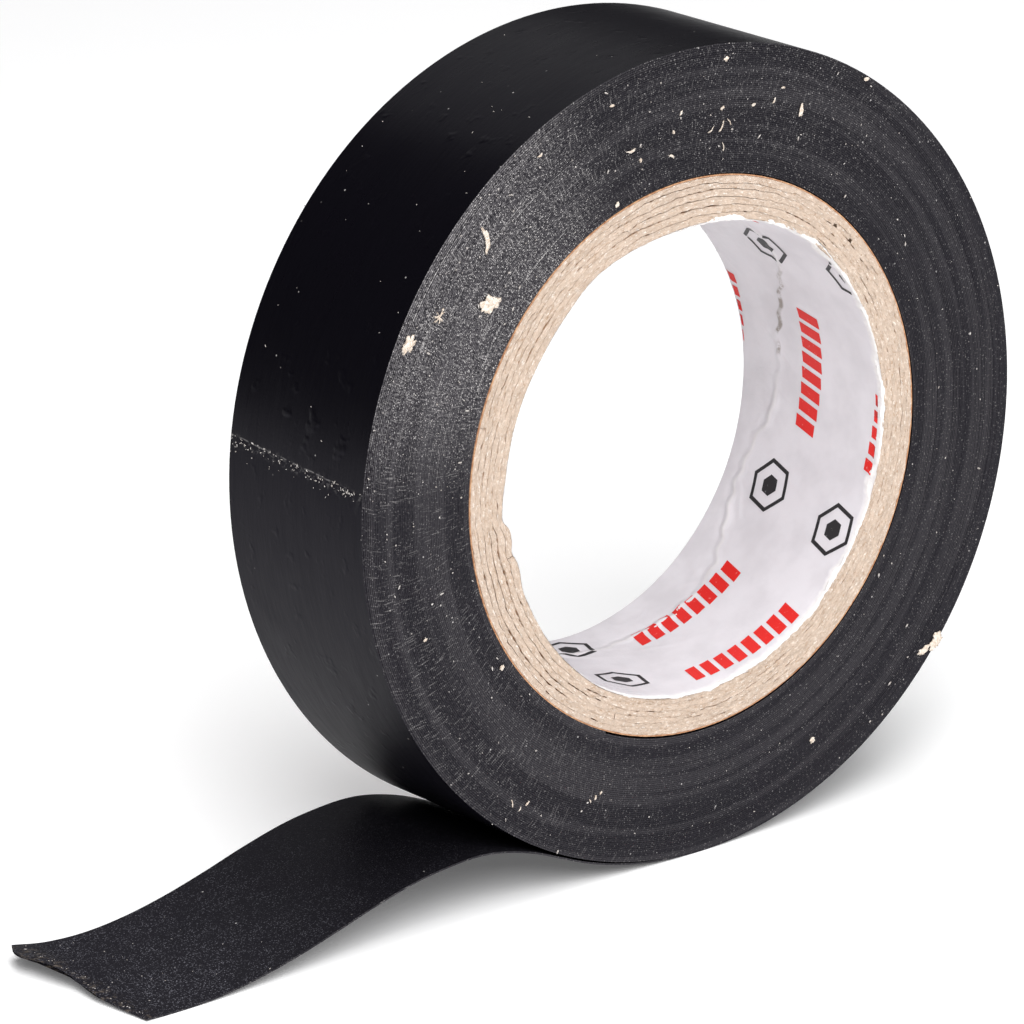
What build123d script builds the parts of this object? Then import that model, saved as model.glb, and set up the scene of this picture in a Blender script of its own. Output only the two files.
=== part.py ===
from build123d import *
import math
import os

# One roll of PVC electrical tape standing on its edge, in mm. The roll's axis is Y and its centre is
# the origin. The face with the printed bore towards the viewer is at -Y, the free tail runs out to -X.

# Overall size
width = 15.0
bore_r = 17.05
core_r = 19.95
roll_r = 29.16

# Core: a printed paper liner, six chipboard plies and a kraft paper wrap
liner_t = 0.12
wrap_t = 0.10
ply_count = 6
ply_gap = 0.008
seam_w = 0.22
seam_tilt = 38
first_seam = 178
seam_step = 137.5

# Tape: one film wound edge over edge; the gap between turns is the adhesive's thickness
film_t = 0.122
adhesive_inset = 0.2
turns = 64
core_fit = 0.012
peel_angle = 245.2

# Tail: the peeled end of the film, divided where it flexes
tail_lift = 0.02
flex_gap = 0.16
tear_depth = 0.9

os.makedirs("parts", exist_ok=True)


def save(piece, name):
    piece.part.label = name
    export_step(piece.part, f"parts/{name}.step")


def on_circle(radius, angle):
    a = math.radians(angle)
    return (radius * math.cos(a), radius * math.sin(a))


# The printed liner is a closed sleeve whose front edge is torn back a little from the core's face
liner_r = bore_r + liner_t
with BuildPart() as core_liner:
    with BuildSketch(Plane.XZ):
        Circle(liner_r)
        Circle(bore_r, mode=Mode.SUBTRACT)
    extrude(amount=width / 2, both=True)
    with BuildSketch(Plane.XZ.offset(width / 2)):
        for start, sweep in ((20, 34), (75, 18), (118, 40), (196, 26), (251, 15), (300, 31)):
            with BuildLine():
                inner = CenterArc((0, 0), bore_r - 0.1, start, sweep)
                outer = CenterArc((0, 0), liner_r + 0.1, start, sweep)
                Line(inner @ 0, outer @ 0)
                Line(inner @ 1, outer @ 1)
            make_face()
    extrude(amount=-0.25, mode=Mode.SUBTRACT)
save(core_liner, "core_liner")


# Each chipboard ply is a strip wound at an angle, so it closes on a slanted butt seam
ply_span = core_r - wrap_t - liner_r
ply_pitch = ply_span / ply_count
for i in range(ply_count):
    inner_r = liner_r + i * ply_pitch + ply_gap
    outer_r = liner_r + (i + 1) * ply_pitch
    seam_at = first_seam + i * seam_step
    sx, sz = on_circle((inner_r + outer_r) / 2, seam_at)
    with BuildPart() as core_ply:
        with BuildSketch(Plane.XZ):
            Circle(outer_r)
            Circle(inner_r, mode=Mode.SUBTRACT)
        extrude(amount=width / 2, both=True)
        seam = Plane(origin=(sx, 0, sz), x_dir=(0, 1, 0), z_dir=(sx, 0, sz))
        with Locations(seam.rotated((0, 0, seam_tilt))):
            Box(width * 1.6, seam_w, ply_pitch * 1.6, mode=Mode.SUBTRACT)
    save(core_ply, f"core_ply_{i + 1}")


with BuildPart() as core_wrap:
    with BuildSketch(Plane.XZ):
        Circle(core_r)
        Circle(core_r - wrap_t + ply_gap, mode=Mode.SUBTRACT)
    extrude(amount=width / 2, both=True)
save(core_wrap, "core_wrap")


# The film is wound as a two-centre spiral: half circles that each start one half pitch further out.
# The adhesive joins the turns through the width and stops a little short of both cut faces.
start_r = core_r + core_fit
pitch = (roll_r - film_t - start_r) / turns


def winding(inner_start, first_half, last_half):
    points = []
    for half in range(first_half, last_half + 1):
        points.append(on_circle(inner_start + half * pitch / 2, peel_angle - 180 * half))
    for half in range(first_half, last_half):
        radius = inner_start + (half + 0.5) * pitch / 2
        centre = on_circle(pitch / 4, peel_angle - 180 * (half + 1))
        side = on_circle(radius, peel_angle - 180 * half - 90)
        start, end = points[half - first_half : half - first_half + 2]
        ThreePointArc(start, (centre[0] + side[0], centre[1] + side[1]), end)
    return points


with BuildPart() as tape_wound:
    with BuildSketch(Plane.XZ):
        with BuildLine():
            rim = winding(start_r + film_t, 2 * turns - 2, 2 * turns)
            Line(rim[0], rim[-1])
        make_face()
        with BuildLine():
            eye = winding(start_r, 0, 2)
            Line(eye[0], eye[-1])
        make_face(mode=Mode.SUBTRACT)
    extrude(amount=width / 2 - adhesive_inset, both=True)
    for begin in (width / 2 - adhesive_inset, -width / 2):
        with BuildSketch(Plane.XZ.offset(begin)):
            with BuildLine():
                inner_edge = winding(start_r, 0, 2 * turns)
                outer_edge = winding(start_r + film_t, 0, 2 * turns)
                Line(inner_edge[0], outer_edge[0])
                Line(inner_edge[-1], outer_edge[-1])
            make_face()
        extrude(amount=adhesive_inset)
save(tape_wound, "tape_wound")


# The tail leaves the roll along its tangent, arches over and comes down flat on its own adhesive-free side
tail_r = roll_r + tail_lift + film_t / 2
peel_point = on_circle(tail_r, peel_angle)
peel_slope = on_circle(1, peel_angle - 90)
tail_path = [
    peel_point,
    (-14.90, -25.47),
    (-17.65, -24.74),
    (-19.88, -24.51),
    (-22.61, -24.66),
    (-25.34, -25.06),
    (-28.86, -25.95),
    (-32.19, -26.96),
    (-35.61, -27.93),
    (-39.03, -28.68),
    (-42.40, -29.05),
    (-45.30, -29.05),
    (-48.20, -28.78),
]
hinge_lift = 0.16
hinge_tip = 0.57

centre_line = Spline(*tail_path, tangents=(peel_slope, (-1, 0.16)))
gap_part = flex_gap / 2 / centre_line.length
spans = {
    "tail_root": (0, hinge_lift - gap_part),
    "tail_mid": (hinge_lift + gap_part, hinge_tip - gap_part),
    "tail_tip": (hinge_tip + gap_part, 1),
}
for name, (begin, end) in spans.items():
    steps = 10
    places = [begin + (end - begin) * k / steps for k in range(steps + 1)]
    middle_points = [centre_line @ u for u in places]
    slopes = [centre_line % u for u in places]
    upper = [(p.X + s.Y * film_t / 2, p.Y - s.X * film_t / 2) for p, s in zip(middle_points, slopes)]
    lower = [(p.X - s.Y * film_t / 2, p.Y + s.X * film_t / 2) for p, s in zip(middle_points, slopes)]
    ends = ((slopes[0].X, slopes[0].Y), (slopes[-1].X, slopes[-1].Y))
    with BuildPart() as tail_piece:
        with BuildSketch(Plane.XZ):
            with BuildLine():
                top = Spline(*upper, tangents=ends)
                bottom = Spline(*lower, tangents=ends)
                Line(top @ 0, bottom @ 0)
                Line(top @ 1, bottom @ 1)
            make_face()
        extrude(amount=width / 2, both=True)
        if name == "tail_tip":
            # The tear is jagged: eight teeth of different depth across the width
            far_x = tail_path[-1][0] - 1
            depths = (0.2, 0.75, 0.35, 0.9, 0.15, 0.6, 0.3, 0.8, 0.05)
            tear = [(far_x, -width)]
            for k, depth in enumerate(depths):
                across = -width / 2 + width * k / (len(depths) - 1)
                tear.append((tail_path[-1][0] + depth * tear_depth, across))
            tear.append((far_x, width))
            with BuildSketch(Plane.XY.offset(-roll_r - 1)):
                Polygon(*tear, align=None)
            extrude(amount=4, mode=Mode.SUBTRACT)
    save(tail_piece, name)

print("pitch", round(pitch, 4), "tail length", round(centre_line.length, 2))
for label, u in (("lift hinge", hinge_lift), ("tip hinge", hinge_tip)):
    spot = centre_line @ u
    print(label, round(spot.X, 3), round(spot.Y, 3))
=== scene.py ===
# A roll of black vinyl tape on its edge, with its torn end peeled off and lying on the table.
import math
import random

import bmesh
import bpy
from mathutils import Matrix, Vector, noise


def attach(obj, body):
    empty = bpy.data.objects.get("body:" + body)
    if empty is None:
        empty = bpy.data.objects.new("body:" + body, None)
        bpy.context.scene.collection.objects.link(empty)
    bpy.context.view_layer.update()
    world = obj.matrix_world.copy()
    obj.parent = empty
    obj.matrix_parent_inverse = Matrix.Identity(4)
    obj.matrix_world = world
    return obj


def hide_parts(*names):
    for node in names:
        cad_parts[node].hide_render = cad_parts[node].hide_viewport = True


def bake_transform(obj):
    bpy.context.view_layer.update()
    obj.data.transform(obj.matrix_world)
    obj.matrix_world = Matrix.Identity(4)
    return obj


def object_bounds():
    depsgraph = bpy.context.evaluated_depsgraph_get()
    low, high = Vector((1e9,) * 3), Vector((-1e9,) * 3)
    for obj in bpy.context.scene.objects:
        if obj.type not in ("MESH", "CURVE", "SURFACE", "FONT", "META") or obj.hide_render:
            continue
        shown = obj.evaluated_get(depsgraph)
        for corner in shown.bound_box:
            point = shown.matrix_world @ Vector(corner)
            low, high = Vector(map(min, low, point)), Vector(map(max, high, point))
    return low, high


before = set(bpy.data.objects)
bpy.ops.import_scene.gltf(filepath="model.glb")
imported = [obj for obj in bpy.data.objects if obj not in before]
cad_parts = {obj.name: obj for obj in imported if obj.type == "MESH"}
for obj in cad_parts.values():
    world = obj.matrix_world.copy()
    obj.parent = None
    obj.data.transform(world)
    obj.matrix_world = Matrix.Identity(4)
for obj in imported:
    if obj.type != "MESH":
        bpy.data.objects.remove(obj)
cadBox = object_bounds()
mm = 0.001
tau = 2 * math.pi


# ---- placing and shaping ----

def polar(radius, angle, across):
    # a point round the roll's axis: angle in degrees from +X towards +Z, across along the width
    a = math.radians(angle)
    return Vector((radius * math.cos(a), across, radius * math.sin(a))) * mm


def ramp(low, high, value):
    t = min(1.0, max(0.0, (value - low) / (high - low)))
    return t * t * (3 - 2 * t)


def throughPoints(points, place):
    # a smooth curve through a short list of rows, each row (place, value, value ...)
    last = len(points) - 1
    i = 0
    while i < last - 1 and place > points[i + 1][0]:
        i += 1
    rows = [points[max(0, min(last, i + k))] for k in (-1, 0, 1, 2)]
    span = rows[2][0] - rows[1][0]
    t = min(1.0, max(0.0, (place - rows[1][0]) / span))
    values = []
    for p0, p1, p2, p3 in zip(*(row[1:] for row in rows)):
        start = (p2 - p0) * span / max(rows[2][0] - rows[0][0], 1e-9)
        end = (p3 - p1) * span / max(rows[3][0] - rows[1][0], 1e-9)
        rise = p2 - p1
        values.append(p1 + t * (start + t * (3 * rise - 2 * start - end + t * (start + end - 2 * rise))))
    return values


def wave(*where):
    return noise.noise(Vector(where))


def ringNoise(angle, depth, perTurn, perMm, seed):
    # noise round the axis that closes on itself
    a = math.radians(angle)
    return wave(math.cos(a) * perTurn, math.sin(a) * perTurn + seed * 7.3, depth * perMm + seed * 3.1)


def rolledGrid(along, around):
    # a flat grid to be rolled up: each vertex keeps its place on it as (0 to 1, 0 to 1)
    bm = bmesh.new()
    bmesh.ops.create_grid(bm, x_segments=along, y_segments=around, size=1)
    places = [((v.co.x + 1) / 2, (v.co.y + 1) / 2) for v in bm.verts]
    return bm, places


def closeGrid(bm):
    # the grid's two long edges have met, so they are joined, and open ends get a cap
    bmesh.ops.remove_doubles(bm, verts=bm.verts, dist=1e-7)
    openEdges = [e for e in bm.edges if e.is_boundary]
    if openEdges:
        bmesh.ops.holes_fill(bm, edges=openEdges, sides=0)
    bmesh.ops.recalc_face_normals(bm, faces=bm.faces)


def piece(name, bm, finishes, body, nodes=(), sharp=None):
    # sharp: edges that turn by more than this, in degrees, stay sharp
    mesh = bpy.data.meshes.new(name)
    bm.to_mesh(mesh)
    bm.free()
    for finish in finishes:
        mesh.materials.append(finish)
    mesh.shade_smooth()
    if sharp:
        mesh.set_sharp_from_angle(angle=math.radians(sharp))
    obj = bpy.data.objects.new(name, mesh)
    bpy.context.scene.collection.objects.link(obj)
    if body:
        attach(obj, body)
    if nodes:
        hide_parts(*nodes)
    print(name, len(mesh.polygons), "faces")
    return obj


# ---- materials ----

class Wire:
    # one value in a material, so that shader maths reads as sums
    def __init__(self, finish, socket):
        self.finish = finish
        self.socket = socket

    def calc(self, operation, *others):
        return self.finish.add("Math", {"operation": operation}, dict(enumerate((self, *others))))

    def __add__(self, other):
        return self.calc("ADD", other)

    __radd__ = __add__

    def __mul__(self, other):
        return self.calc("MULTIPLY", other)

    __rmul__ = __mul__

    def __sub__(self, other):
        return self.calc("SUBTRACT", other)

    def __rsub__(self, other):
        return (self * -1) + other

    def __truediv__(self, other):
        return self.calc("DIVIDE", other)

    def __pow__(self, other):
        return self.calc("POWER", other)

    def out(self, name):
        return Wire(self.finish, self.socket.node.outputs[name])

    def step(self, low, high):
        # 0 below low, 1 above high, smooth between
        settings = {"interpolation_type": "SMOOTHSTEP"}
        return self.finish.add("MapRange", settings, {"Value": self, "From Min": low, "From Max": high})


class Finish:
    def __init__(self, name):
        self.material = bpy.data.materials.new(name)
        self.material.use_nodes = True
        self.tree = self.material.node_tree
        self.shader = self.tree.nodes["Principled BSDF"]

    def add(self, kind, settings, values):
        node = self.tree.nodes.new("ShaderNode" + kind)
        for key, value in settings.items():
            if key == "stops":
                stops = node.color_ramp.elements
                while len(stops) < len(value):
                    stops.new(0.5)
                for stop, (place, colour) in zip(stops, value):
                    stop.position = place
                    stop.color = (*colour, 1)
            else:
                setattr(node, key, value)
        for key, value in values.items():
            if isinstance(value, Wire):
                self.tree.links.new(value.socket, node.inputs[key])
            else:
                node.inputs[key].default_value = value
        return Wire(self, next(s for s in node.outputs if s.enabled))

    def place(self):
        # object coordinates in millimetres
        coords = self.add("TexCoord", {}, {}).out("Object")
        return self.add("VectorMath", {"operation": "SCALE"}, {0: coords, "Scale": 1000.0})

    def split(self, vector):
        parts = self.add("SeparateXYZ", {}, {0: vector})
        return parts.out("X"), parts.out("Y"), parts.out("Z")

    def join(self, x, y, z):
        return self.add("CombineXYZ", {}, {0: x, 1: y, 2: z})

    def grain(self, vector, scale, detail=2.0, roughness=0.5, stretch=None):
        if stretch:
            vector = self.add("VectorMath", {"operation": "MULTIPLY"}, {0: vector, 1: stretch})
        values = {"Vector": vector, "Scale": scale, "Detail": detail, "Roughness": roughness}
        return self.add("TexNoise", {"noise_dimensions": "3D"}, values)

    def cells(self, vector, scale):
        return self.add("TexVoronoi", {"feature": "F1"}, {"Vector": vector, "Scale": scale})

    def sparks(self, vector, scale, size, share):
        # small bright dots of uneven brightness: about this many to the mm, and this share left dark
        cell = self.cells(vector, scale)
        bright = self.split(cell.out("Color"))[0]
        return cell.out("Distance").step(size, size * 0.45) * bright.step(share, 1.0)

    def dashes(self, x, y, size, share):
        # short strokes on a flat pattern that the caller has stretched, of uneven brightness
        values = {"Vector": self.join(x, y, 0.0), "Scale": 1.0}
        cell = self.add("TexVoronoi", {"voronoi_dimensions": "2D", "feature": "F1"}, values)
        bright = self.split(cell.out("Color"))[0]
        return cell.out("Distance").step(size, size * 0.5) * bright.step(share, 1.0)

    def mix(self, amount, first, second):
        settings = {"data_type": "RGBA", "clamp_factor": True}
        values = {0: amount, 6: paint(first), 7: paint(second)}
        return self.add("Mix", settings, values)

    def bump(self, height, depth):
        # depth in mm
        return self.add("Bump", {}, {"Height": height, "Distance": depth * mm, "Strength": 1.0})

    def finish(self, **sockets):
        for name, value in sockets.items():
            socket = self.shader.inputs[{"colour": "Base Color", "normal": "Normal", "rough": "Roughness",
                                         "specular": "Specular IOR Level", "tint": "Specular Tint",
                                         "glow": "Emission Strength"}[name]]
            if isinstance(value, Wire):
                self.tree.links.new(value.socket, socket)
            else:
                socket.default_value = paint(value)
        return self.material


def paint(value):
    return (*value, 1.0) if isinstance(value, tuple) and len(value) == 3 else value


vinylLook = {
    "black": (0.0026, 0.0023, 0.0038),
    "peeledBlack": (0.0030, 0.0026, 0.0048),
    "edgeBlack": (0.0035, 0.0033, 0.0037),
    "hazeAndSheen": (0.150, 0.142, 0.148),
    "dust": (0.52, 0.50, 0.49),
    "sheen": (0.80, 0.74, 1.0),
    "oldGloss": 0.30,
    "freshGloss": 0.48,
    "edgeRough": 0.52,
    "endLine": 3.82,          # height of the line where the tape's end was stuck, mm above the centre
    "endLineSlope": 0.057,
    "middleRadius": 24.5,     # half way across the wound face, mm
    "markBow": 0.033,         # how far the slitting marks bow
    "sheenSide": (-0.788, 0.616),   # x and z of the direction towards which the face gets painted sheen: haze, marks and sparkle are brightened there
}


def polarWires(f):
    spot = f.place()
    x, y, z = f.split(spot)
    radius = (x * x + z * z).calc("SQRT")
    return spot, x, y, z, radius


def filmEdgeFinish():
    # the wound edges: fine film edges with slitting marks across them, haze and dust, and painted sheen that
    # brightens them towards the upper left
    look = vinylLook
    f = Finish("filmCutEdge")
    spot, x, y, z, radius = polarWires(f)
    # mm round the roll, bowed a little, with the seam of its angle on the right
    middle = look["middleRadius"]
    around = (z * -1).calc("ARCTAN2", x * -1) * middle + (radius - middle) ** 2 * look["markBow"]
    around = around + (f.grain(spot, 0.32, 2.0) - 0.5) * 0.8
    long = f.dashes(around * 4.2, radius * 0.27, 0.16, 0.0)
    long = long + f.dashes(around * 3.6 + 40, radius * 0.36, 0.15, 0.0)
    short = f.dashes(around * 5.4 + radius * 0.8, radius * 1.25, 0.17, 0.40)
    rings = f.grain(f.join(x / radius * 1.6, radius * 3.4, z / radius * 1.6), 2.0, 1.0, 0.5).step(0.66, 0.73)
    streaks = f.grain(f.join(x / radius * 34, radius * 0.7, z / radius * 34), 2.0, 1.0, 0.5)
    turns = f.grain(f.join(x / radius * 5, radius * 1.9, z / radius * 5), 2.6, 3.0, 0.6)
    bands = f.grain(f.join(x / radius * 0.25, radius * 0.42, z / radius * 0.25), 2.2, 2.0, 0.55)
    fine = f.grain(spot, 5.2, 2.0, 0.7)
    patches = f.grain(spot, 0.42, 3.0, 0.6)
    # painted sheen: side, left and upper pick out the upper left of the face, where the light falls, and
    # brighten the haze, marks and sparkle there
    side = (x / radius * look["sheenSide"][0] + z / radius * look["sheenSide"][1]).step(0.81, 1.0)
    left = (x / radius * -1).step(0.0, 0.8)
    upper = (z / radius).step(0.55, 1.0)
    # painted highlight: a band along the outer rim on the lit side
    rim = radius.step(27.0, 29.0) * side
    # painted sheen: the dust sparkle is made brighter on the lit side and at the top
    sparks = f.sparks(spot, 3.4, 0.24, 0.45) * (patches * 1.6 - 0.15) + f.sparks(spot, 6.2, 0.34, 0.25) * 0.60
    sparks = sparks + f.sparks(spot, 9.0, 0.44, 0.30) * (side * 0.60 + upper * 0.22)
    # painted sheen: the rings show only on the lit side
    marks = long * patches.step(0.28, 0.62) + short * 0.7 + rings * side * fine.step(0.35, 0.6) * 1.5
    grit = f.sparks(spot, 1.3, 0.11, 0.62)
    hazeAndSheen = fine.step(0.40, 0.72) * 0.06 + turns.step(0.42, 0.72) * 0.05 + bands.step(0.46, 0.62) * 0.15
    # painted sheen: the haze is raised on the lit side, along the outer rim there, and a little on the left
    hazeAndSheen = hazeAndSheen * 0.75 + (side * 0.44 + rim * 0.4) * fine.step(0.30, 0.70)
    hazeAndSheen = hazeAndSheen + left * fine.step(0.35, 0.70) * 0.05
    colour = f.mix(hazeAndSheen, look["edgeBlack"], look["hazeAndSheen"])
    # painted sheen: the dust marks and sparkle show brighter on the lit side, the left and the top
    colour = f.mix(marks * (side * 0.16 + left * 0.20 + upper * 0.08 + 0.03), colour, look["dust"])
    colour = f.mix(sparks * (side * 1.1 + upper * 0.25 + 0.38), colour, look["dust"])
    colour = f.mix(grit * 0.8, colour, look["dust"])
    height = turns * 0.3 + streaks * 0.5 + fine * 0.9
    rough = hazeAndSheen * 0.15 + look["edgeRough"]
    normal = f.bump(height, 0.014)
    return f.finish(colour=colour, rough=rough, normal=normal, specular=0.24, tint=look["sheen"])


def filmBackFinish():
    # the smooth back of the film: glossier where it has aged, duller where the end was just peeled off
    look = vinylLook
    f = Finish("filmBack")
    spot = f.place()
    x, y, z = f.split(spot)
    line = z - y * look["endLineSlope"] - look["endLine"]
    wobble = (f.grain(spot, 0.8, 3.0, 0.6) - 0.5) * 0.5
    below = (line + wobble * 0.25).step(0.05, -0.05) * x.step(0, -2)
    wide = f.grain(spot, 0.10, 2.0)
    fine = f.grain(spot, 5.0, 2.0, 0.6)
    rub = f.grain(spot, 1.3, 3.0, 0.62, (0.25, 1.6, 0.25))
    residue = (line + wobble + 0.25).calc("ABSOLUTE").step(0.60, 0.05) * x.step(0, -2)
    residue = residue * f.grain(spot, 2.6, 3.0, 0.7).step(0.50, 0.66)
    edgeLine = (line + wobble * 0.4).calc("ABSOLUTE").step(0.07, 0.02) * x.step(0, -2)
    residue = residue + edgeLine * f.grain(spot, 1.4, 2.0, 0.6).step(0.42, 0.60) * 2
    specks = f.cells(spot, 0.62).out("Distance").step(0.055, 0.03) * f.grain(spot, 0.35, 1.0).step(0.46, 0.60)
    colour = f.mix(below * 0.8 + rub.step(0.5, 0.8) * 0.15, look["black"], look["peeledBlack"])
    colour = f.mix(residue * 0.11, colour, look["dust"])
    colour = f.mix(specks * 0.6, colour, look["dust"])
    rough = below * (look["freshGloss"] - look["oldGloss"]) + look["oldGloss"]
    rough = rough + (wide - 0.5) * 0.08 + (rub - 0.5) * 0.14
    dents = f.grain(spot, 0.62, 2.0, 0.5).step(0.60, 0.78)
    height = wide * 4.0 + fine * 0.15 + rub * 0.4 + dents * 0.9
    normal = f.bump(height, 0.030)
    return f.finish(colour=colour, rough=rough, normal=normal, specular=0.13, tint=look["sheen"])


def adhesiveFinish():
    # the sticky side: a fine even mottle that has caught dust
    look = vinylLook
    f = Finish("filmAdhesive")
    spot = f.place()
    x = f.split(spot)[0]
    mottle = f.grain(spot, 2.6, 3.0, 0.65)
    fine = f.grain(spot, 7.0, 2.0, 0.6)
    wide = f.grain(spot, 0.22, 2.0)
    outer = x.step(-24.0, -45.0)
    uneven = f.grain(spot, 0.5, 3.0, 0.6).step(0.36, 0.64)
    dust = f.sparks(spot, 4.6, 0.34, 0.15) * (outer * 0.17 + 0.04) * (uneven * 1.0 + 0.15)
    dust = dust + f.sparks(spot, 7.5, 0.42, 0.20) * (outer * 0.30 + 0.05) * (uneven * 0.5 + 0.5)
    grit = f.sparks(spot, 0.8, 0.075, 0.70)
    end = x.step(-46.6, -48.3) * f.grain(spot, 1.7, 3.0, 0.7).step(0.50, 0.72)
    colour = f.mix(mottle * 0.5 + outer * 0.4, (0.0030, 0.0028, 0.0036), (0.0110, 0.0102, 0.0138))
    colour = f.mix(dust, colour, (0.50, 0.50, 0.57))
    colour = f.mix(grit * 0.7, colour, look["dust"])
    colour = f.mix(end * 0.25, colour, (0.42, 0.34, 0.26))
    rough = mottle * 0.12 + wide * 0.10 + 0.40
    normal = f.bump(mottle * 0.6 + fine * 0.5 + wide * 2.0, 0.03)
    return f.finish(colour=colour, rough=rough, normal=normal, specular=0.16, tint=look["sheen"])


boardLook = {
    "board": (0.635, 0.500, 0.400),
    "pale": (0.84, 0.76, 0.68),
    "dark": (0.37, 0.235, 0.145),
    # painted shade: the darker brown laid on the lips of open cracks between plies
    "crackShade": (0.40, 0.20, 0.09),
    "shade": (0.97, 1.03, 0.99, 1.02, 0.96, 1.0),
    "pitted": 5,              # the ply with two small knife pits, painted as near-black spots of shade with no hollow in the mesh, and where they are, mm
    "pitShadeSpots": ((12.76, -7.5, 14.12), (14.16, -7.5, 12.76)),
}


def boardFinish(number):
    # grey-tan chipboard: short fibres lying round the ply, bark specks and pale flecks
    look = boardLook
    shade = look["shade"][number - 1]
    f = Finish(f"chipboard{number}")
    spot, x, y, z, radius = polarWires(f)
    seed = f.add("VectorMath", {"operation": "ADD"}, {0: spot, 1: (number * 13.0, number * 5.0, 0)})
    around = f.join(x / radius * 14 + number * 9.1, radius * 2.6 + y * 2.6, z / radius * 14)
    fibres = f.grain(around, 1.7, 4.0, 0.66)
    pulp = f.grain(seed, 4.6, 3.0, 0.65)
    flecks = f.grain(around, 3.1, 2.0, 0.55)
    hairs = (f.grain(around, 1.1, 2.0, 0.5) - 0.5).calc("ABSOLUTE").step(0.035, 0.005)
    hairs = hairs * f.grain(seed, 0.7, 2.0).step(0.48, 0.60)
    bark = f.cells(seed, 1.9).out("Distance").step(0.17, 0.05) * f.grain(seed, 0.8, 1.0).step(0.50, 0.64)
    colour = f.mix(fibres.step(0.36, 0.72), tuple(c * shade * 0.82 for c in look["board"]), look["board"])
    colour = f.mix(pulp.step(0.5, 0.78) * 0.55, colour, look["pale"])
    colour = f.mix(flecks.step(0.62, 0.72) * 0.8, colour, look["pale"])
    turned = (z * -1).calc("ARCTAN2", x * -1) * 24 + (pulp - 0.5) * 1.2
    white = f.dashes(turned + number * 3.3, radius * 5.5 + (fibres - 0.5) * 1.5, 0.20, 0.55)
    colour = f.mix(white * 0.7, colour, (0.93, 0.89, 0.84))
    colour = f.mix(flecks.step(0.38, 0.27) * 0.72, colour, look["dark"])
    colour = f.mix(bark * 0.55, colour, look["dark"])
    colour = f.mix(hairs * 0.5, colour, look["dark"])
    # painted shade: each knife pit is a near-black spot in the colour
    if number == look["pitted"]:
        for pit in look["pitShadeSpots"]:
            off = f.add("VectorMath", {"operation": "DISTANCE"}, {0: spot, 1: pit}).out("Value")
            colour = f.mix((off + (pulp - 0.5) * 0.35).step(0.25, 0.17), colour, (0.05, 0.028, 0.015))
    # painted shade: the lips of open cracks between plies are darkened to a deeper brown
    gap = f.add("Attribute", {"attribute_name": "gap"}, {}).out("Fac")
    colour = f.mix(gap.step(0.15, 0.7) * 0.8, colour, look["crackShade"])
    colour = f.mix(pulp.step(0.44, 0.28) * 0.45, colour, tuple(c * 0.72 for c in look["board"]))
    return f.finish(colour=colour, rough=0.9, normal=f.bump(fibres + pulp, 0.10), specular=0.2)


def wrapFinish():
    f = Finish("kraftWrap")
    spot = f.place()
    fibres = f.grain(spot, 2.4, 3.0, 0.6)
    colour = f.mix(fibres.step(0.35, 0.7), (0.36, 0.165, 0.085), (0.60, 0.36, 0.21))
    return f.finish(colour=colour, rough=0.85, normal=f.bump(fibres, 0.04), specular=0.2)


linerLook = {
    "paper": (0.74, 0.715, 0.745),
    "pulp": (0.80, 0.78, 0.765),
    "dirt": (0.23, 0.19, 0.155),
    "shadow": (0.58, 0.555, 0.58),
}


def linerFinish():
    # smooth white-faced paper, a little creased and rubbed; torn pulp along the front edge
    look = linerLook
    f = Finish("linerPaper")
    spot, x, y, z, radius = polarWires(f)
    crease = f.add("Attribute", {"attribute_name": "crease"}, {}).out("Fac")
    torn = f.add("Attribute", {"attribute_name": "torn"}, {}).out("Fac")
    cloud = f.grain(spot, 0.30, 3.0, 0.55)
    fibres = f.grain(spot, 4.0, 3.0, 0.65)
    scuff = f.grain(spot, 1.1, 4.0, 0.7)
    colour = f.mix(cloud.step(0.35, 0.7) * 0.5, look["paper"], look["shadow"])
    colour = f.mix((z / radius).step(0.3, 1.0) * 0.35, colour, look["shadow"])
    handled = z.step(-2.0, 1.0) * z.step(11.0, 6.0) * x.step(0.0, 5.0)
    rubbed = crease.step(0.35, 0.85) * scuff.step(0.36, 0.54) * f.grain(spot, 0.42, 1.0).step(0.44, 0.56)
    rubbed = rubbed * (handled * 0.85 + 0.10)
    # painted highlight: away from the handled part the crease is lightened towards pulp colour, as if its
    # raised ridge caught the light
    colour = f.mix(crease.step(0.5, 1.0) * (handled * -0.4 + 0.4), colour, look["pulp"])
    colour = f.mix(rubbed * 0.9, colour, look["dirt"])
    colour = f.mix(torn * (fibres.step(0.2, 0.6) * 0.6 + 0.4), colour, look["pulp"])
    height = fibres * 0.25 + scuff * 0.35 + cloud * 1.2 + torn * fibres * 1.5
    return f.finish(colour=colour, rough=torn * 0.35 + 0.42, normal=f.bump(height, 0.05), specular=0.4)


def inkFinish(name, colour, worn):
    f = Finish(name)
    spot = f.place()
    gaps = f.grain(spot, 3.6, 3.0, 0.65).step(0.62, 0.74)
    body = f.mix(gaps * 0.55, colour, worn)
    return f.finish(colour=body, rough=0.5 + gaps * 0.2, specular=0.3)


def crumbFinish(name, base, light):
    f = Finish(name)
    spot = f.place()
    colour = f.mix(f.grain(spot, 6.0, 2.0).step(0.35, 0.7), base, light)
    return f.finish(colour=colour, rough=0.9, normal=f.bump(f.grain(spot, 9.0, 2.0), 0.05), specular=0.2)


filmEdge = filmEdgeFinish()
filmBack = filmBackFinish()
adhesive = adhesiveFinish()
print("materials made")


# ---- the winding: one film rolled up turn on turn ----

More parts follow.
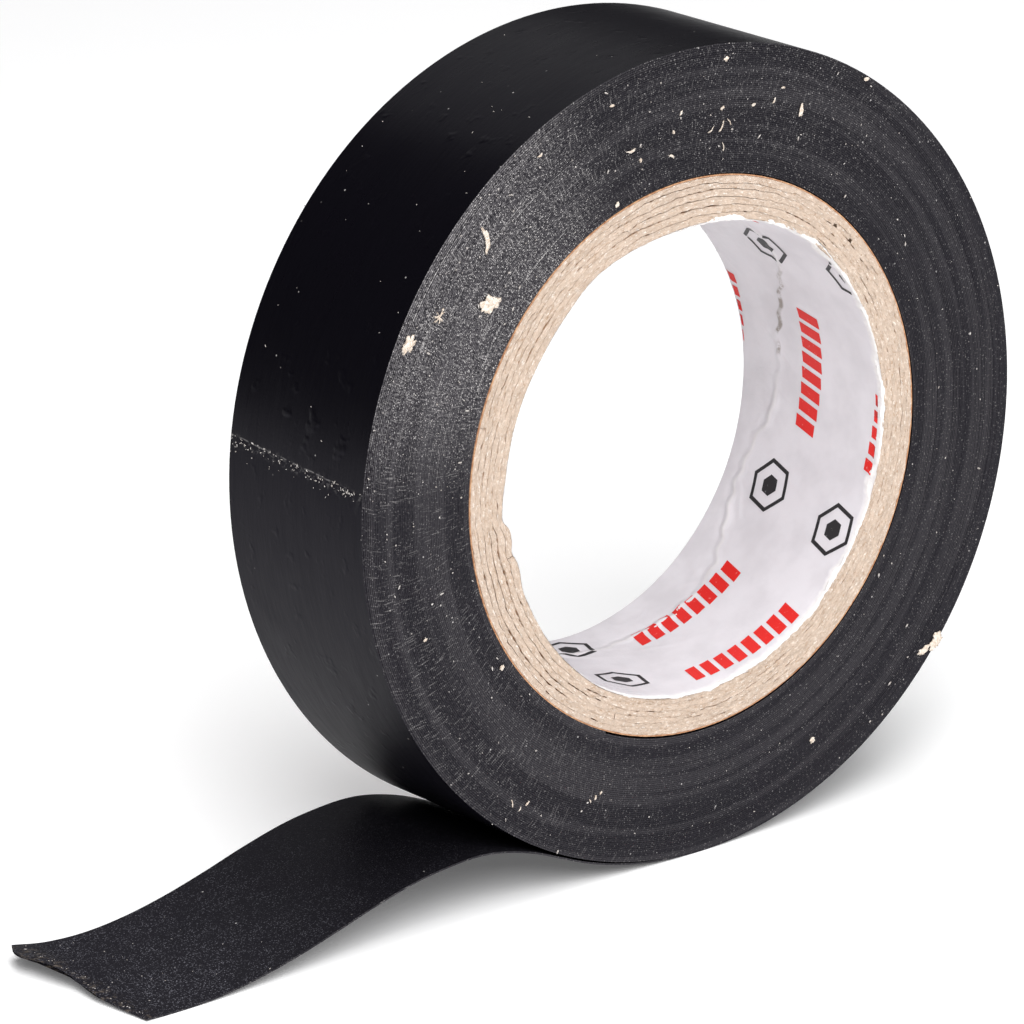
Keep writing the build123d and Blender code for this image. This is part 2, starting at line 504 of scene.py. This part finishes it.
film = {
    "width": 15.0,
    "thickness": 0.122,
    "outerRadius": 29.16,
    "startRadius": 19.962,
    "turns": 64,
    "stepsPerTurn": 180,
    "peelAngle": 245.2,
    "wander": 0.009,          # how far a turn sits in or out of its neighbours, mm
    "bandHeight": 0.016,      # how far whole groups of turns stand in or out, mm
    "liftAngle": 24.0,        # the outer turn rises to meet the tail over this angle
    "tailLift": 0.02,
    "lean": 0.05,             # how far broad stretches of the face stand out, mm
    "softEdge": 0.12,         # how far the outermost turns are pressed in at their edges, mm
}


def woundFilm():
    look = film
    half = look["width"] / 2
    pitch = (look["outerRadius"] - look["thickness"] - look["startRadius"]) / look["turns"]
    lift = look["tailLift"] + look["thickness"]
    bm, places = rolledGrid(look["turns"] * look["stepsPerTurn"], 4)
    random.seed(11)
    wander = [random.uniform(-1, 1) for _ in range(look["turns"] + 2)]
    for face in bm.faces:
        side = int((face.calc_center_median().y + 1) * 2)
        face.material_index = 1 if side in (0, 2) else 0
    for v, (along, around) in zip(bm.verts, places):
        turn = along * look["turns"]
        angle = look["peelAngle"] - 360 * turn
        inner = look["startRadius"] + pitch * turn
        last = (look["turns"] - turn) * 360
        inner += lift * ramp(look["liftAngle"], 0, last)
        corner = round(around * 4) % 4
        radius = inner + (look["thickness"] if corner in (1, 2) else 0)
        whole = int(turn)
        own = wander[whole] + (wander[whole + 1] - wander[whole]) * ramp(0.8, 1, turn - whole)
        group = math.sin(inner * 2.35 + 0.6 * math.sin(inner * 1.3)) * ramp(20.5, 22.5, inner)
        roundOff = ramp(28.2, 29.3, inner) * look["softEdge"]
        front = own * look["wander"] + group * look["bandHeight"]
        front -= ringNoise(angle, inner, 1.5, 0.3, 4) * look["lean"]
        if corner in (0, 1):
            across = -half - front + roundOff
        else:
            across = half + front - roundOff
        v.co = polar(radius, angle, across)
    closeGrid(bm)
    piece("woundFilm", bm, [filmBack, filmEdge], "roll", ["tape_wound"], sharp=40)


woundFilm()


# ---- the tail: the same film, peeled off and lying with its sticky side up ----

tail = {
    # distance along the tail, x, z of its middle, how far its back edge stands above its front edge / 2
    "path": [
        (-12.270, -26.538, 0.0),
        (-14.90, -25.47, 0.0),
        (-17.65, -24.74, 0.0),
        (-19.88, -24.51, 0.0),
        (-22.61, -24.66, 0.0),
        (-25.34, -25.05, 0.0),
        (-28.86, -25.92, 0.0),
        (-32.19, -26.90, 0.0),
        (-35.61, -27.80, 0.02),
        (-39.03, -28.48, 0.06),
        (-42.40, -28.84, 0.13),
        (-45.60, -28.80, 0.27),
        (-48.20, -28.50, 0.46),
    ],
    # from the front edge (-1) to the back one (1): how far the torn end stands past a straight cut, mm
    "torn": [(-1, -0.25), (-0.66, 0.05), (-0.32, 0.30), (-0.07, 0.22), (0.16, 0.12), (0.38, 0.26),
             (0.53, 0.80), (0.66, 1.20), (0.80, 1.05), (0.90, 0.65), (1, 0.18)],
    "tornLength": 3.5,        # the tear is drawn out over this much of the end, mm
    "curl": 0.12,
    "curlLength": 7,
    "across": 26,
    "perMm": 5,
    "bulge": 0.05,
    "liftHinge": (-17.843, -24.706),
    "tipHinge": (-32.61, -27.087),
    "bend": 2.2,              # the film bends over this length on each side of a hinge, mm
    "join": -25.34,           # where the two tail pieces meet, between the hinges
}


def tailRows():
    rows = []
    length = 0.0
    for i, (x, z, twist) in enumerate(tail["path"]):
        if i:
            length += math.dist((x, z), tail["path"][i - 1][:2])
        rows.append((length, x, z, twist))
    return rows


def tornEnd(across):
    # how far the torn end stands out past the straight cut, from the front edge (-1) to the back one (1)
    teeth = 0.05 * wave(across * 9, 2.7, 0) + 0.05 * wave(across * 31, 5.1, 0)
    return throughPoints(tail["torn"], across)[0] + teeth


def tailSpot(rows, length, across):
    x, z, twist = throughPoints(rows, length)
    ahead = throughPoints(rows, length + 0.05)
    behind = throughPoints(rows, length - 0.05)
    slope = Vector((ahead[0] - behind[0], ahead[1] - behind[1])).normalized()
    nearEnd = ramp(rows[-1][0] - tail["curlLength"], rows[-1][0], length)
    curl = tail["curl"] * nearEnd * math.sin(across * 3.4 + 0.4)
    sway = tail["bulge"] * math.cos(across * 1.6) * math.sin(length * 0.21) * ramp(6, 14, length)
    spot = Vector((x, across * film["width"] / 2, z + twist * across + curl + sway))
    return spot, Vector((slope.y, 0, -slope.x))


def tailPiece(name, low, high, nodes, lastPiece):
    # runs along the tail, and across it over the sticky side and back under the smooth one
    rows = tailRows()
    n = tail["across"]
    steps = max(8, round((high - low) * tail["perMm"]))
    bm, places = rolledGrid(steps, 2 * n + 2)
    floor = -film["outerRadius"] + 0.012
    for face in bm.faces:
        side = (face.calc_center_median().y + 1) / 2 * (2 * n + 2)
        face.material_index = 0 if side < n else 1 if n + 1 < side < 2 * n + 1 else 2
    for v, (along, around) in zip(bm.verts, places):
        column = round(around * (2 * n + 2)) % (2 * n + 2)
        top = column <= n
        across = -1 + 2 * (column if top else 2 * n + 1 - column) / n
        length = low + (high - low) * along
        if lastPiece:
            length += tornEnd(across) * ramp(high - tail["tornLength"], high, length)
        if length > rows[-1][0]:
            end, up = tailSpot(rows, rows[-1][0], across)
            before = tailSpot(rows, rows[-1][0] - 0.5, across)[0]
            spot = end + (end - before) * ((length - rows[-1][0]) / 0.5)
        else:
            spot, up = tailSpot(rows, length, across)
        spot = spot + up * (film["thickness"] / 2 if top else -film["thickness"] / 2)
        spot.z = max(spot.z, floor + (film["thickness"] if top else 0))
        v.co = spot * mm
    closeGrid(bm)
    obj = piece(name, bm, [adhesive, filmBack, filmEdge], None, nodes, sharp=50)
    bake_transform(obj)
    (high - low) * mm


def lengthAt(x):
    rows = tailRows()
    low, high = 0.0, rows[-1][0]
    for _ in range(30):
        middle = (low + high) / 2
        if throughPoints(rows, middle)[0] > x:
            low = middle
        else:
            high = middle
    return low


tailMeet = lengthAt(tail["join"])
tailPiece("tailPeeled", 0.0, tailMeet,
          ["tail_root", "tail_mid"], False)
tailPiece("tailEnd", tailMeet, tailRows()[-1][0],
          ["tail_tip"], True)


# ---- the core: six chipboard plies, cut with a blunt knife ----

core = {
    "boreRadius": 17.05,
    "linerThickness": 0.12,
    "outerRadius": 19.95,
    "wrapThickness": 0.10,
    "plies": 6,
    "steps": 540,
    "firstSeam": 212,
    "seamStep": 137.5,
    "seamWidth": 0.05,
    "seamTilt": 38,
    "fibreRough": 0.08,
    "lumps": 0.05,
    "crack": 0.019,           # half the width of an open crack at the cut face, mm
    "crackDepth": 0.19,
    "closed": (0.72, 0.26, 0.60, 0.34, 0.74),   # how closed each line between plies is
    "wander": 0.12,
    # angle in degrees, and how far the front rim of the bore stands out (or in, below 0) there, mm
    "squeeze": [(-180, -0.05), (-177, -0.05), (-174.5, -0.55), (-171.5, -0.64), (-168.3, -0.48),
                (-166, -0.72), (-163, -0.75), (-158, -0.50), (-153, -0.48), (-145, -0.36), (-130, -0.12),
                (-118, 0.08),
                (-60, 0.08), (0, 0.04), (55, -0.04), (80, -0.40), (99, -0.56), (110, -0.36), (121, -0.16),
                (132, -0.36), (145, -0.42), (156, -0.34), (172, -0.26), (180, -0.05)],
}


def boreShift(angle, depth):
    # the bore is not quite round: the first ply's torn end stands in at the left, and the tube is squeezed
    angle = (angle + 180) % 360 - 180
    return throughPoints(core["squeeze"], angle)[0] * (0.35 + 0.65 * math.exp(-depth / 3.5))


def plyEdge(angle, number):
    # how far the line between two plies wanders at the cut faces, mm
    if number in (0, core["plies"]):
        return 0
    slow, quick = ringNoise(angle, 0, 5, 1, 40 + number), ringNoise(angle, 0, 21, 1, 50 + number)
    return core["wander"] * (slow + 0.8 * quick)


def plyGap(angle, number, side):
    # how far the line between two plies has opened, 0 to 1
    if number in (0, core["plies"]):
        return 0
    crack = ringNoise(angle, 0, 7, 1, 60 + number * 2 + side)
    crack += 1.2 * ringNoise(angle, 0, 84, 1, 90 + number + side)
    return ramp(core["closed"][number - 1], 0.75, crack)


def corePly(number):
    look = core
    innerStart = look["boreRadius"] + look["linerThickness"]
    span = (look["outerRadius"] - look["wrapThickness"] - innerStart) / look["plies"]
    inner = innerStart + span * (number - 1)
    seam = look["firstSeam"] + (number - 1) * look["seamStep"]
    # radial share of the ply's thickness, distance in from the cut face
    face = [(0, 6.2), (0, 4.9), (0, 3.6), (0, 2.3), (0, 1.1), (0, 0.0), (0.07, 0.0), (0.2, 0.0), (0.4, 0.0),
            (0.6, 0.0), (0.8, 0.0), (0.93, 0.0), (1, 0.0), (1, 1.1), (1, 4.5)]
    loop = [(share, inset, -1) for share, inset in face]
    loop += [(share, inset, 1) for share, inset in reversed(face)]
    loop.append((0, film["width"] / 2, 1))
    bm, places = rolledGrid(look["steps"], len(loop))
    gapLayer = bm.verts.layers.float.new("gap")
    for v, (along, around) in zip(bm.verts, places):
        share, inset, side = loop[round(around * len(loop)) % len(loop)]
        across = side * (film["width"] / 2 - inset)
        slant = math.degrees(math.tan(math.radians(look["seamTilt"])) * across / inner)
        gap = math.degrees(look["seamWidth"] / 2 / inner)
        angle = seam + slant + gap + (360 - 2 * gap) * along
        atFace = 1 - ramp(0.2, 1.0, inset)
        seed = number * 2 + side
        rough = ringNoise(angle, share * 3, 70, 1.5, seed) * look["fibreRough"]
        rough += ringNoise(angle, share, 24, 0.8, seed + 3) * look["lumps"]
        low, high = plyGap(angle, number - 1, side), plyGap(angle, number, side)
        lip = low if share == 0 else high if share == 1 else 0
        # how far the crack beside this vertex has opened; the board's finish paints shade there
        v[gapLayer] = lip
        depth = inset + (look["crackDepth"] * lip - rough) * atFace
        opening = look["crack"] * atFace * (low * (1 - share) ** 4 - high * share ** 4)
        shift = boreShift(angle, across + film["width"] / 2)
        shift *= (1 - (inner - innerStart) / (span * look["plies"])) ** 1.6 * (1 - share * 0.18)
        wavy = plyEdge(angle, number - 1) * (1 - share) + plyEdge(angle, number) * share
        radius = inner + 0.004 + (span - 0.006) * share + opening + shift + wavy * atFace
        radius = min(radius, look["outerRadius"] - look["wrapThickness"] - 0.004)
        v.co = polar(radius, angle, side * (film["width"] / 2 - depth))
    closeGrid(bm)
    node = f"core_ply_{number}"
    piece(f"corePly{number}", bm, [boardFinish(number)], "roll", [node], sharp=50)


for ply in range(1, core["plies"] + 1):
    corePly(ply)

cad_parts["core_wrap"].material_slots[0].material = wrapFinish()
print("core made")


# ---- the liner: printed white paper pasted into the bore ----

liner = {
    "steps": 720,
    "across": 90,
    # angle in degrees and place across the width, mm, of the long crease
    "crease": [(-180, 4.8), (-140, 4.6), (-100, 4.0), (-61, 3.1), (-49, 3.9), (-34, 5.7), (-23, 5.7),
               (-7, 3.9), (11, 3.2), (31, 0.6), (45, -0.6), (80, 1.2), (130, 3.4), (180, 4.8)],
    # short creases: angle and place across at each end, and how deep
    "folds": [(31, 6.9, 20, 4.6, 0.05), (14, 5.6, 3, 2.2, 0.05), (2, 6.2, -9, 1.0, 0.035),
              (-22, 6.6, -38, 4.0, 0.05), (-60, 5.6, -48, 1.6, 0.035), (-88, 2.4, -70, -1.0, 0.03),
              (50, -1.2, 38, 3.2, 0.04),
              (-112, 5.5, -90, 2.0, 0.04), (100, 1.0, 70, 4.0, 0.04), (150, 2.0, 128, -2.5, 0.04)],
    "creaseDepth": 0.14,
    "creaseWidth": 0.32,
    "tear": 0.60,
    "flare": 0.30,
}


def creaseAt(angle, across):
    # 1 on the crease, falling to 0 beside it
    angle = (angle + 180) % 360 - 180
    middle = throughPoints(liner["crease"], angle)[0] + ringNoise(angle, 0, 14, 1, 60) * 0.55
    return math.exp(-((across - middle) / liner["creaseWidth"]) ** 2)


def foldAt(angle, across):
    # how far the short creases stand in from the paper, mm
    turned = (angle + 180) % 360 - 180
    height = 0
    for a0, w0, a1, w1, deep in liner["folds"]:
        place = min(1, max(0, (turned - a0) / (a1 - a0)))
        off = across - w0 - (w1 - w0) * place - 0.25 * wave(angle * 0.3, w0, 3)
        beyond = math.radians(turned - a0 - (a1 - a0) * place) * core["boreRadius"]
        near = math.exp(-(off / 0.22) ** 2 - (beyond / 0.3) ** 2)
        height += deep * near * math.sin(math.pi * (0.1 + 0.8 * place))
    return height


def linerRadius(angle, across):
    depth = across + film["width"] / 2
    ridge = creaseAt(angle, across) * liner["creaseDepth"] * (0.6 + 0.8 * ringNoise(angle, 0, 6, 1, 61))
    side = creaseAt(angle, across - 0.55) * 0.03
    wrinkle = abs(ringNoise(angle, across, 9, 0.35, 62)) ** 0.5
    soft = 0.03 * ringNoise(angle, across, 4, 0.16, 63)
    fold = -0.035 * (1 - min(1, wrinkle * 4)) * ramp(1, 5, across)
    return core["boreRadius"] + boreShift(angle, depth) - ridge + side + soft + fold - foldAt(angle, across)


def coreLiner():
    look = liner
    half = film["width"] / 2
    n = look["across"]
    wall = core["linerThickness"] * 0.75
    loopCount = n + 7
    bm, places = rolledGrid(look["steps"], loopCount)
    creaseLayer = bm.verts.layers.float.new("crease")
    tornLayer = bm.verts.layers.float.new("torn")
    for v, (along, around) in zip(bm.verts, places):
        angle = -360 * along
        column = round(around * loopCount) % loopCount
        rag = 0.45 + 1.0 * ringNoise(angle, 0, 8, 1, 70) + 0.35 * ringNoise(angle, 0, 38, 1, 71)
        turned = (angle + 180) % 360
        hidden = ramp(85, 55, turned) + ramp(285, 320, turned)
        edge = -half + look["tear"] * max(0, rag - 0.40)
        edge = edge + 0.06 * ringNoise(angle, 0, 90, 1, 72) + 0.22 * hidden
        reach = 0.04 + 1.3 * ringNoise(angle, 0, 7, 1, 73) + 0.6 * ringNoise(angle, 0, 24, 1, 74)
        reach += 0.34 * ramp(212, 236, turned) * ramp(274, 256, turned) - 0.8 * hidden
        flare = look["flare"] * max(0.02, reach) + 0.04 * max(0, ringNoise(angle, 0, 90, 1, 75))
        if column <= n:
            across = half - 0.03 - (half - 0.03 - edge) * column / n
            radius = linerRadius(angle, across)
            lip = ramp(1.0, 0.0, across - edge)
            radius += lip * 0.07 * ringNoise(angle, across, 40, 1.2, 76)
        else:
            front = linerRadius(angle, edge)
            radius, across = {
                1: (front + 0.05, edge - 0.05),
                2: (front + 0.08 + flare * 0.55, edge - 0.07 - 0.03 * rag),
                3: (front + 0.09 + flare, edge - 0.03),
                4: (front + 0.08 + flare * 0.9, edge + 0.02),
                5: (front + wall + 0.02, edge + 0.15),
                6: (core["boreRadius"] + wall + 0.01, half - 0.03),
            }[column - n]
            if edge > -half + 0.1 and 2 <= column - n <= 4:
                across = min(across, -half - 0.02)
        v[creaseLayer] = creaseAt(angle, across) if column <= n else 0
        v[tornLayer] = ramp(0.50, 0.15, across - edge) if column <= n else 1
        v.co = polar(radius, angle, across)
    closeGrid(bm)
    piece("coreLiner", bm, [linerFinish()], "roll", ["core_liner"], sharp=55)


coreLiner()


# ---- the print on the liner: plain bars and six-sided marks ----

printing = {
    "pitchAround": 68.0,      # degrees between one red mark and the next
    # each row round the bore: mm across, and degrees round, from the first
    "rows": ((-15.6, -9.0), (-7.7, -5.0), (0, 0), (8.3, 6.0)),
    "slope": -0.036,          # mm across for each degree round
    "redAngle": 3.7,
    "redAcross": -0.10,
    "blackAngle": -27.0,
    "blackAcross": 2.5,
    "bars": 8,
    "barPitch": 1.20,
    "barHeight": 1.0,
    "barWidth": 0.86,
    "lean": 0.28,
    "lineWidth": 0.34,
    "markSize": 2.0,
    "markHeart": 0.40,        # the solid middle's share of the mark
    "markTurn": 12,
    "reach": 11,              # marks whose middle is further across than this are left out, mm
    "inkLift": 0.018,
}


def inkPatch(bm, corners):
    # a thin printed patch: corners are (mm round the bore, mm across), cut fine enough to follow the bore
    made = bmesh.ops.create_grid(bm, x_segments=4, y_segments=4, size=1)
    a, b, c, d = corners
    half = film["width"] / 2
    for v in made["verts"]:
        s, t = (v.co.x + 1) / 2, (v.co.y + 1) / 2
        around = (a[0] * (1 - s) + b[0] * s) * (1 - t) + (d[0] * (1 - s) + c[0] * s) * t
        across = (a[1] * (1 - s) + b[1] * s) * (1 - t) + (d[1] * (1 - s) + c[1] * s) * t
        angle = math.degrees(around / core["boreRadius"])
        shown = min(max(across, -half + 0.4), half - 0.15)
        v.co = polar(linerRadius(angle, shown) - printing["inkLift"], angle, shown)


def onWidth(corners):
    half = film["width"] / 2
    return any(-half + 0.6 < c[1] < half - 0.2 for c in corners)


def redMark(bm, around, across):
    look = printing
    wide = look["barWidth"] / 2
    low, high = -look["barHeight"], look["barHeight"]
    for i in range(look["bars"]):
        place = around + (i - (look["bars"] - 1) / 2) * look["barPitch"]
        side = across + look["slope"] * math.degrees((place - around) / core["boreRadius"])
        left, right = place + look["lean"] * low, place + look["lean"] * high
        corners = [(left - wide, side + low), (left + wide, side + low),
                   (right + wide, side + high), (right - wide, side + high)]
        if onWidth(corners):
            inkPatch(bm, corners)


def blackMark(bm, around, across):
    # a hexagon outline with a small solid one inside
    look = printing
    points = []
    for k in range(6):
        a = math.radians(60 * k + look["markTurn"])
        points.append((math.cos(a), math.sin(a)))
    outer, inner = look["markSize"], look["markSize"] - look["lineWidth"]
    for k in range(6):
        p, q = points[k], points[(k + 1) % 6]
        line = ((p, outer), (q, outer), (q, inner), (p, inner))
        corners = [(around + point[0] * size, across + point[1] * size) for point, size in line]
        if onWidth(corners):
            inkPatch(bm, corners)
    small = look["markSize"] * look["markHeart"]
    for k in (0, 2, 4):
        three = [points[(k + j) % 6] for j in range(3)]
        corners = [(around, across)] + [(around + p[0] * small, across + p[1] * small) for p in three]
        if onWidth(corners):
            inkPatch(bm, corners)


def printedMarks():
    look = printing
    red, black = bmesh.new(), bmesh.new()
    for k in range(-2, 3):
        turn = -look["pitchAround"] * k
        for rowShift, rowTurn in look["rows"]:
            angle = rowTurn + turn
            shift = look["slope"] * turn + rowShift
            for mark, ink, name in ((redMark, red, "red"), (blackMark, black, "black")):
                across = look[name + "Across"] + shift
                if abs(across) < look["reach"]:
                    mark(ink, math.radians(look[name + "Angle"] + angle) * core["boreRadius"], across)
    redInk = inkFinish("redInk", (0.70, 0.020, 0.016), (0.80, 0.45, 0.43))
    blackInk = inkFinish("blackInk", (0.028, 0.026, 0.028), (0.30, 0.29, 0.30))
    piece("linerPrintRed", red, [redInk], "roll")
    piece("linerPrintBlack", black, [blackInk], "roll")


printedMarks()


# ---- crumbs of core board and paper dust that stick to the roll ----

crumbs = {
    # radius, angle, length, width in mm, turned by degrees: the large ones on the front face
    "face": [(23.05, 140.6, 1.55, 1.15, 170), (28.1, 152.1, 1.35, 0.85, 50), (26.2, 133.3, 2.1, 0.42, 100),
             (26.5, 146.8, 1.25, 0.10, 45), (26.5, 146.8, 1.0, 0.09, 100), (26.5, 146.9, 0.8, 0.09, 150),
             (26.6, 146.7, 0.9, 0.09, 8), (28.9, -39.7, 1.5, 0.85, 60), (28.3, -42.2, 1.2, 0.60, 20),
             (20.75, -147.0, 0.45, 0.38, 0), (25.5, -65.8, 0.50, 0.36, 45), (24.9, 67.0, 0.95, 0.30, 75),
             (28.0, 83.8, 0.42, 0.30, 10), (28.8, 57.0, 0.45, 0.24, 0), (24.6, 83.9, 0.42, 0.20, 40),
             (27.3, 105.0, 0.40, 0.18, 0), (22.6, 101.9, 0.38, 0.20, 80), (25.2, -161.9, 0.36, 0.16, 30),
             (23.3, 83.6, 0.9, 0.08, 60), (23.1, 86.0, 0.7, 0.07, 35), (23.6, 82.0, 0.5, 0.07, 120),
             (21.9, 82.9, 0.7, 0.07, 95), (24.8, 77.4, 0.32, 0.24, 20), (25.2, 73.2, 0.42, 0.11, 60),
             (26.2, 72.0, 0.35, 0.16, 0), (23.5, 103.4, 0.75, 0.18, 10), (22.0, 95.0, 0.50, 0.16, 150),
             (24.8, 92.4, 0.35, 0.14, 60), (23.6, 94.2, 0.30, 0.20, 90), (27.5, 119.0, 0.5, 0.14, 30),
             (20.5, 109.2, 0.4, 0.25, 60), (27.1, -128.1, 0.50, 0.08, 100), (27.2, -126.2, 0.40, 0.07, 50),
             (26.6, -125.4, 0.32, 0.14, 30), (24.9, -113.3, 0.35, 0.08, 110), (24.6, -112.4, 0.40, 0.13, 70),
             (24.2, -111.6, 0.28, 0.13, 40)],
    "scattered": 420,
    "treadLine": 110,
    "treadLoose": 26,
    "treadSink": 0.071,       # the left of the roll lies half a turn's thickness in, mm
    "tail": 26,
    "tailEnd": 34,
}


def crumb(bm, place, normal, along, length, width, thick):
    made = bmesh.ops.create_icosphere(bm, subdivisions=1, radius=1)
    side = normal.cross(along).normalized()
    along = side.cross(normal).normalized()
    seed = Vector((random.random() * 50, random.random() * 50, 0))
    for v in made["verts"]:
        k = 1 + 0.75 * noise.noise(v.co * 1.7 + seed)
        spot = along * v.co.x * length / 2 * k + side * v.co.y * width / 2 * k + normal * v.co.z * thick / 2
        v.co = place + spot * mm


def bigCrumb(bm, place, normal, along, length, width, thick):
    # a flat torn flake with a ragged outline
    made = bmesh.ops.create_icosphere(bm, subdivisions=4 if length > 1.3 else 3, radius=1)
    side = normal.cross(along).normalized()
    bow = 0.16 * length if length > 3 * width else 0
    seed = Vector((random.random() * 50, 0, random.random() * 50))
    for v in made["verts"]:
        flat = Vector((v.co.x, v.co.y, 0))
        k = 0.92 + 0.65 * noise.noise(flat * 1.5 + seed) + 0.45 * noise.noise(flat * 5 + seed)
        bumpy = 1 + 0.9 * noise.noise(v.co * 6 + seed)
        spot = along * v.co.x * length / 2 * k + side * (v.co.y * width / 2 * k + bow * v.co.x ** 2)
        spot += normal * v.co.z * thick / 2 * bumpy
        v.co = place + spot * mm


def dustOnFace():
    random.seed(5)
    look = crumbs
    big, small = bmesh.new(), bmesh.new()
    half = film["width"] / 2
    front = Vector((0, -1, 0))
    for radius, angle, length, width, turned in look["face"]:
        along = Vector((math.cos(math.radians(turned)), 0, math.sin(math.radians(turned))))
        bigCrumb(big, polar(radius, angle, -half - 0.05), front, along, length, width, min(0.16, width))
    for i in range(look["scattered"]):
        radius = random.uniform(20.1, 29.1)
        angle = random.gauss(135, 75) if i % 3 else random.uniform(-180, 180)
        side = -1 if i % 4 else 1
        turned = random.uniform(0, tau)
        size = random.choice((0.05, 0.06, 0.07, 0.08, 0.10, 0.14))
        long = random.choice((1, 1, 1.2, 1.5, 2.6))
        along = Vector((math.cos(turned), 0, math.sin(turned)))
        place = polar(radius, angle, side * (half + 0.055))
        crumb(small, place, front * -side, along, size * long, size, 0.05)
    piece("faceCrumbs", big, [boardCrumb], "roll")
    piece("faceDust", small, [paleDust], "roll")


def dustOnTread():
    random.seed(8)
    look = crumbs
    bm = bmesh.new()
    for i in range(look["treadLine"] + look["treadLoose"]):
        onLine = i < look["treadLine"]
        across = random.uniform(-7.4, 7.4)
        if onLine:
            height = vinylLook["endLine"] + vinylLook["endLineSlope"] * across
            height = height - abs(random.gauss(0, 0.45)) + 0.1
            angle = 180 - math.degrees(math.asin(height / film["outerRadius"]))
        else:
            angle = random.uniform(95, 175)
        place = polar(film["outerRadius"] - look["treadSink"], angle, across)
        normal = Vector((place.x, 0, place.z)).normalized()
        turned = random.uniform(0, tau)
        along = Vector((0, math.cos(turned), 0)) + normal.cross(Vector((0, 1, 0))) * math.sin(turned)
        size = random.choice((0.04, 0.05, 0.06, 0.09)) if onLine else random.choice((0.04, 0.05, 0.06))
        crumb(bm, place, normal, along, size * random.choice((1, 1.5, 2, 4)), size, 0.06)
    piece("treadDust", bm, [paleDust], "roll")


boardCrumb = crumbFinish("boardCrumb", (0.64, 0.53, 0.43), (0.84, 0.77, 0.69))
paleDust = crumbFinish("paleDust", (0.42, 0.38, 0.35), (0.62, 0.59, 0.57))
dustOnFace()
dustOnTread()


def dustOnTail():
    random.seed(21)
    look = crumbs
    rows = tailRows()
    end = rows[-1][0]
    bm = bmesh.new()
    for i in range(look["tail"] + look["tailEnd"]):
        atEnd = i < look["tailEnd"]
        across = random.uniform(-0.97, 0.97)
        start = lengthAt(tail["tipHinge"][0]) + 3
        length = end - abs(random.gauss(0, 0.25)) - 0.12 if atEnd else random.uniform(start, end - 0.5)
        if atEnd:
            length += min(0, tornEnd(across))
        spot, up = tailSpot(rows, length, across)
        place = (spot + up * (film["thickness"] / 2 + 0.01)) * mm
        turned = random.uniform(0, tau)
        along = Vector((math.cos(turned), math.sin(turned), 0))
        size = random.choice((0.05, 0.06, 0.08, 0.11))
        crumb(bm, place, up, along, size * random.choice((1, 1.4, 2.4)), size, 0.05)
    piece("tailDust", bm, [paleDust], "tail_end")


dustOnTail()
print("dust made")


# ---- table, light and camera ----

studio = {
    "tableSize": 3.0,
    "table": (0.965, 0.965, 0.965),
    "tableGlow": 0.12,        # a light table, so that contact shadows stay pale
    "world": 0.05,
    # name, where from (azimuth, elevation in degrees), distance m, size m, power W
    "lights": [("keyBox", -32, 40, 0.90, 0.55, 7.6), ("topBox", 10, 80, 0.75, 0.60, 4.1),
               ("frontFill", 40, 22, 0.90, 0.55, 1.9), ("backBox", 152, 44, 1.00, 0.75, 0.75)],
    "cameraAzimuth": -38.362,
    "cameraElevation": 18.170,
    "cameraRoll": -1.027,
    "cameraDistance": 513.4,
    "cameraAim": (-7.40, 3.71, -5.12),
    "lens": 258.6,
}


def towards(azimuth, elevation):
    a, e = math.radians(azimuth), math.radians(elevation)
    return Vector((math.sin(a) * math.cos(e), -math.cos(a) * math.cos(e), math.sin(e)))


def placeTable():
    bm = bmesh.new()
    bmesh.ops.create_grid(bm, x_segments=1, y_segments=1, size=studio["tableSize"] / 2)
    bmesh.ops.translate(bm, verts=bm.verts, vec=(0, 0, cadBox[0][2]))
    f = Finish("tableTop")
    fine = f.grain(f.place(), 0.02, 2.0)
    top = f.finish(colour=f.mix(fine * 0.3, studio["table"], (0.94, 0.94, 0.945)), rough=0.65, specular=0.3,
                   glow=studio["tableGlow"])
    obj = piece("table", bm, [top], None)


def placeLights():
    for name, azimuth, elevation, distance, size, power in studio["lights"]:
        light = bpy.data.lights.new(name, "AREA")
        light.shape = "SQUARE"
        light.size = size
        light.energy = power
        lamp = bpy.data.objects.new(name, light)
        back = towards(azimuth, elevation)
        lamp.location = back * distance
        lamp.rotation_euler = back.to_track_quat("Z", "Y").to_euler()
        bpy.context.scene.collection.objects.link(lamp)
    world = bpy.data.worlds.new("studioAir")
    world.use_nodes = True
    bpy.context.scene.world = world
    air = world.node_tree.nodes["Background"]
    air.inputs["Color"].default_value = (0.96, 0.94, 1.0, 1)
    air.inputs["Strength"].default_value = studio["world"]
    bpy.context.scene.view_settings.view_transform = "Standard"


def placeCamera():
    back = towards(studio["cameraAzimuth"], studio["cameraElevation"])
    right = Vector((0, 0, 1)).cross(back).normalized()
    roll = Matrix.Rotation(math.radians(studio["cameraRoll"]), 3, back)
    right = roll @ right
    up = back.cross(right)
    spot = (Vector(studio["cameraAim"]) + back * studio["cameraDistance"]) * mm
    lens = bpy.data.cameras.new("camera")
    lens.lens = studio["lens"]
    lens.sensor_width = 36.0
    lens.clip_start = 0.01
    camera = bpy.data.objects.new("camera", lens)
    turn = Matrix((right, up, back)).transposed()
    camera.matrix_world = Matrix.Translation(spot) @ turn.to_4x4()
    bpy.context.scene.collection.objects.link(camera)
    bpy.context.scene.camera = camera


placeTable()
placeLights()
placeCamera()
